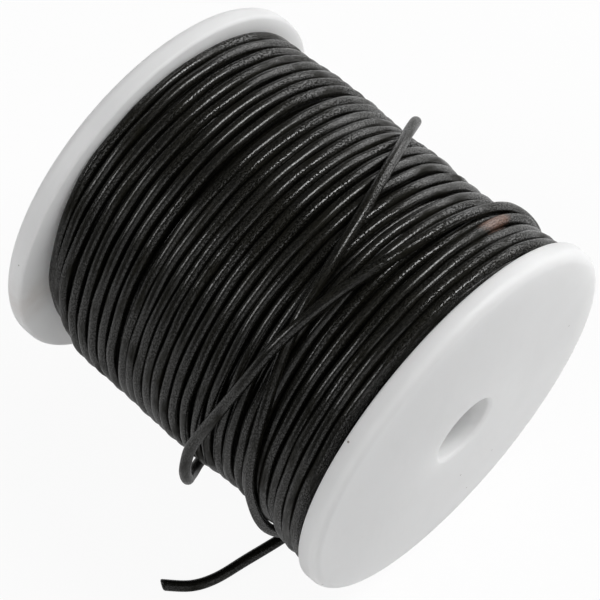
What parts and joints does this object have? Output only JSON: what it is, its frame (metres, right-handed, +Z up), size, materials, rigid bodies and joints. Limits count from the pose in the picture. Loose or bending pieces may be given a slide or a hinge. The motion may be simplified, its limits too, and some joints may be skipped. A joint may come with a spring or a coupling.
{
  "type": "thread spool",
  "caption": "Flanged plastic spool wound full of round black leather cord, lying on its rims, with a slack outer turn and two cut ends.",
  "frame": {"origin": "on the surface that the rims lie on, under the middle of the spool", "axes": "+Z up, the spool's axis along Y with the near flange at -Y, +X across the spool"},
  "size_m": [0.08, 0.0738, 0.07],
  "materials": {
    "spool_plastic": "smooth moulded, faint sheen",
    "cord_leather": "dyed black, fine grain, satin"
  },
  "bodies": {
    "root": {"near_flange": "spool_plastic", "far_flange": "spool_plastic", "barrel": "spool_plastic", "wound_core": "cord_leather", "outer_winding": "cord_leather", "loose_turn": "cord_leather", "tail_end": "cord_leather"}
  },
  "joints": []
}
